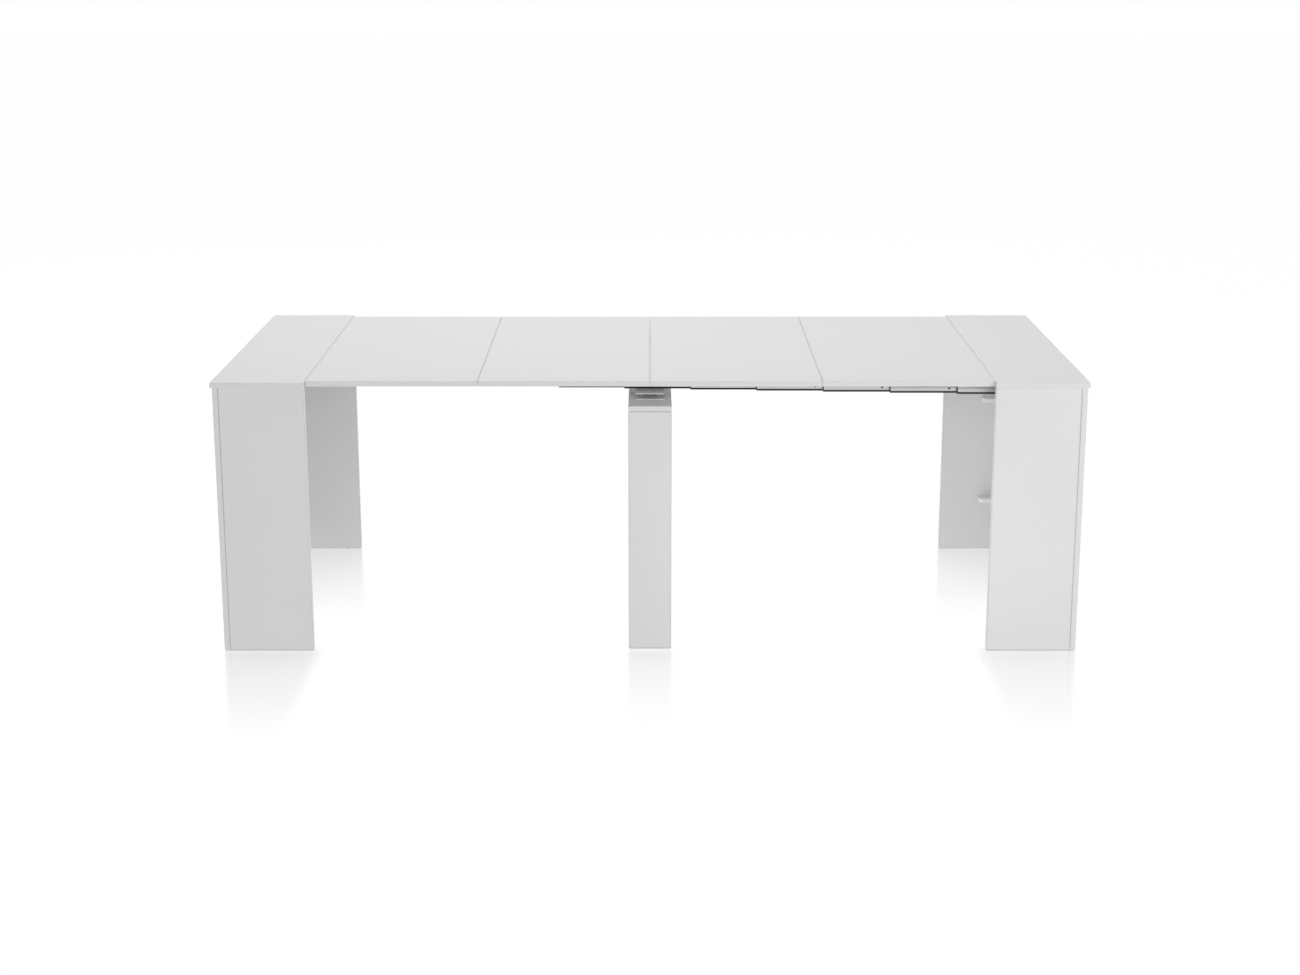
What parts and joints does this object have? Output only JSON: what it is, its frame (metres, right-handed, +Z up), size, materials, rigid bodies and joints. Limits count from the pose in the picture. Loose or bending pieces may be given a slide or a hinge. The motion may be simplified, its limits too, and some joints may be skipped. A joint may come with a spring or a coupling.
{
  "type": "extending console table",
  "caption": "Console table whose two open ends draw apart on side-by-side metal slides to take loose leaves, held up in the middle by a narrow board leg.",
  "frame": {"origin": "on the floor under the middle of the open table", "axes": "+X along the table to the right end, +Y from the front to the rear, +Z up"},
  "size_m": [2.37, 0.9, 0.766],
  "materials": {
    "white_board": "satin white faced board",
    "slide_aluminium": "matt anodised",
    "bracket_metal": "plain mill",
    "zinc_steel": "zinc plated",
    "zinc_alloy": "die cast",
    "beech": "bare",
    "nylon": "moulded",
    "white_plastic": "moulded"
  },
  "bodies": {
    "centre_leg": {"leg_top": "white_board", "leg_front_board": "white_board", "leg_rear_board": "white_board", "front_bracket": "bracket_metal", "rear_bracket": "bracket_metal", "leg_dowels": "beech", "leg_cam_bolts": "zinc_steel", "leg_cams": "zinc_alloy", "leg_glides": "nylon", "bracket_bolts": "zinc_steel", "bracket_screws": "zinc_steel", "front_slide_07": "slide_aluminium", "rear_slide_07": "slide_aluminium"},
    "right_end": {"right_top": "white_board", "right_side_panel": "white_board", "right_front_panel": "white_board", "right_rear_panel": "white_board", "right_dowels": "beech", "right_cam_bolts": "zinc_steel", "right_cams": "zinc_alloy", "right_glides": "nylon", "right_slide_screws": "zinc_steel", "right_lower_rests": "white_plastic", "right_upper_rests": "white_plastic", "front_slide_12": "slide_aluminium", "rear_slide_12": "slide_aluminium"},
    "left_end": {"left_top": "white_board", "left_side_panel": "white_board", "left_front_panel": "white_board", "left_rear_panel": "white_board", "left_dowels": "beech", "left_cam_bolts": "zinc_steel", "left_cams": "zinc_alloy", "left_glides": "nylon", "left_slide_screws": "zinc_steel", "front_slide_01": "slide_aluminium", "rear_slide_01": "slide_aluminium"},
    "slide_stage_02": {"front_slide_02": "slide_aluminium", "rear_slide_02": "slide_aluminium"},
    "slide_stage_03": {"front_slide_03": "slide_aluminium", "rear_slide_03": "slide_aluminium"},
    "slide_stage_04": {"front_slide_04": "slide_aluminium", "rear_slide_04": "slide_aluminium"},
    "slide_stage_05": {"front_slide_05": "slide_aluminium", "rear_slide_05": "slide_aluminium"},
    "slide_stage_06": {"front_slide_06": "slide_aluminium", "rear_slide_06": "slide_aluminium"},
    "slide_stage_08": {"front_slide_08": "slide_aluminium", "rear_slide_08": "slide_aluminium"},
    "slide_stage_09": {"front_slide_09": "slide_aluminium", "rear_slide_09": "slide_aluminium"},
    "slide_stage_10": {"front_slide_10": "slide_aluminium", "rear_slide_10": "slide_aluminium"},
    "slide_stage_11": {"front_slide_11": "slide_aluminium", "rear_slide_11": "slide_aluminium"},
    "leaf_1": {"leaf_1": "white_board"},
    "leaf_2": {"leaf_2": "white_board"},
    "leaf_3": {"leaf_3": "white_board"},
    "leaf_4": {"leaf_4": "white_board"}
  },
  "joints": [
    {"name": "right_end_slide", "type": "slide", "parent": "centre_leg", "child": "right_end", "axis": [1, 0, 0], "range_m": [-0.932, 0]},
    {"name": "left_end_slide", "type": "slide", "parent": "centre_leg", "child": "left_end", "axis": [1, 0, 0], "range_m": [0, 0.932]},
    {"name": "slide_stage_02_slide", "type": "slide", "parent": "centre_leg", "child": "slide_stage_02", "axis": [1, 0, 0], "range_m": [0, 0.77667]},
    {"name": "slide_stage_03_slide", "type": "slide", "parent": "centre_leg", "child": "slide_stage_03", "axis": [1, 0, 0], "range_m": [0, 0.62133]},
    {"name": "slide_stage_04_slide", "type": "slide", "parent": "centre_leg", "child": "slide_stage_04", "axis": [1, 0, 0], "range_m": [0, 0.466]},
    {"name": "slide_stage_05_slide", "type": "slide", "parent": "centre_leg", "child": "slide_stage_05", "axis": [1, 0, 0], "range_m": [0, 0.31067]},
    {"name": "slide_stage_06_slide", "type": "slide", "parent": "centre_leg", "child": "slide_stage_06", "axis": [1, 0, 0], "range_m": [0, 0.15533]},
    {"name": "slide_stage_08_slide", "type": "slide", "parent": "centre_leg", "child": "slide_stage_08", "axis": [1, 0, 0], "range_m": [-0.1864, 0]},
    {"name": "slide_stage_09_slide", "type": "slide", "parent": "centre_leg", "child": "slide_stage_09", "axis": [1, 0, 0], "range_m": [-0.3728, 0]},
    {"name": "slide_stage_10_slide", "type": "slide", "parent": "centre_leg", "child": "slide_stage_10", "axis": [1, 0, 0], "range_m": [-0.5592, 0]},
    {"name": "slide_stage_11_slide", "type": "slide", "parent": "centre_leg", "child": "slide_stage_11", "axis": [1, 0, 0], "range_m": [-0.7456, 0]},
    {"name": "leaf_1_lift", "type": "slide", "parent": "centre_leg", "child": "leaf_1", "axis": [0, 0, 1], "range_m": [0, 0.466]},
    {"name": "leaf_2_lift", "type": "slide", "parent": "centre_leg", "child": "leaf_2", "axis": [0, 0, 1], "range_m": [0, 0.466]},
    {"name": "leaf_3_lift", "type": "slide", "parent": "centre_leg", "child": "leaf_3", "axis": [0, 0, 1], "range_m": [0, 0.466]},
    {"name": "leaf_4_lift", "type": "slide", "parent": "centre_leg", "child": "leaf_4", "axis": [0, 0, 1], "range_m": [0, 0.466]}
  ],
  "couplings": [
    {"joint": "left_end_slide", "follows": "right_end_slide", "ratio": -1},
    {"joint": "slide_stage_02_slide", "follows": "right_end_slide", "ratio": -0.83333},
    {"joint": "slide_stage_03_slide", "follows": "right_end_slide", "ratio": -0.66667},
    {"joint": "slide_stage_04_slide", "follows": "right_end_slide", "ratio": -0.5},
    {"joint": "slide_stage_05_slide", "follows": "right_end_slide", "ratio": -0.33333},
    {"joint": "slide_stage_06_slide", "follows": "right_end_slide", "ratio": -0.16667},
    {"joint": "slide_stage_08_slide", "follows": "right_end_slide", "ratio": 0.2},
    {"joint": "slide_stage_09_slide", "follows": "right_end_slide", "ratio": 0.4},
    {"joint": "slide_stage_10_slide", "follows": "right_end_slide", "ratio": 0.6},
    {"joint": "slide_stage_11_slide", "follows": "right_end_slide", "ratio": 0.8},
    {"joint": "leaf_1_lift", "follows": "right_end_slide", "ratio": -0.5},
    {"joint": "leaf_2_lift", "follows": "right_end_slide", "ratio": -0.5},
    {"joint": "leaf_3_lift", "follows": "right_end_slide", "ratio": -0.5},
    {"joint": "leaf_4_lift", "follows": "right_end_slide", "ratio": -0.5}
  ]
}
